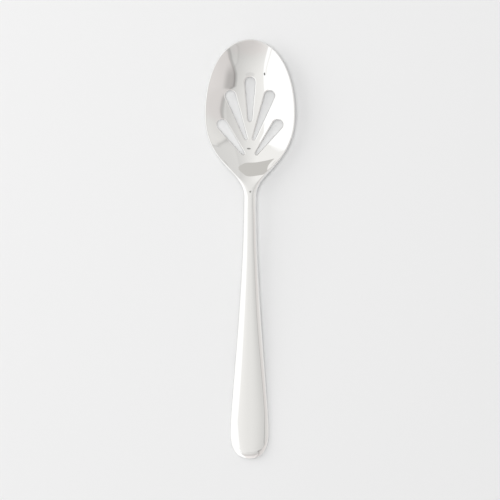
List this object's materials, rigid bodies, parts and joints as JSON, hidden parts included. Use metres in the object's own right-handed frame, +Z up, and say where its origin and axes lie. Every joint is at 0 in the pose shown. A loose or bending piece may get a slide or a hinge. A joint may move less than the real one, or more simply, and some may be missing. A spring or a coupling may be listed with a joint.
{
  "type": "slotted serving spoon",
  "caption": "One-piece polished stainless serving spoon with a fan of teardrop slots through its egg-shaped bowl and a long handle that widens to a plump rounded tail.",
  "frame": {"origin": "On the table under the middle of the spoon's length and width, where z = 0 is the surface that the spoon lies on face up.", "axes": "+Y runs from the handle to the tip of the bowl, +X to the right with the tip pointing away, and +Z up out of the open bowl."},
  "size_m": [0.0518, 0.24, 0.012],
  "materials": {
    "polished_steel": "mirror polished stainless steel"
  },
  "bodies": {
    "root": {"bowl": "polished_steel", "handle": "polished_steel"}
  },
  "joints": []
}
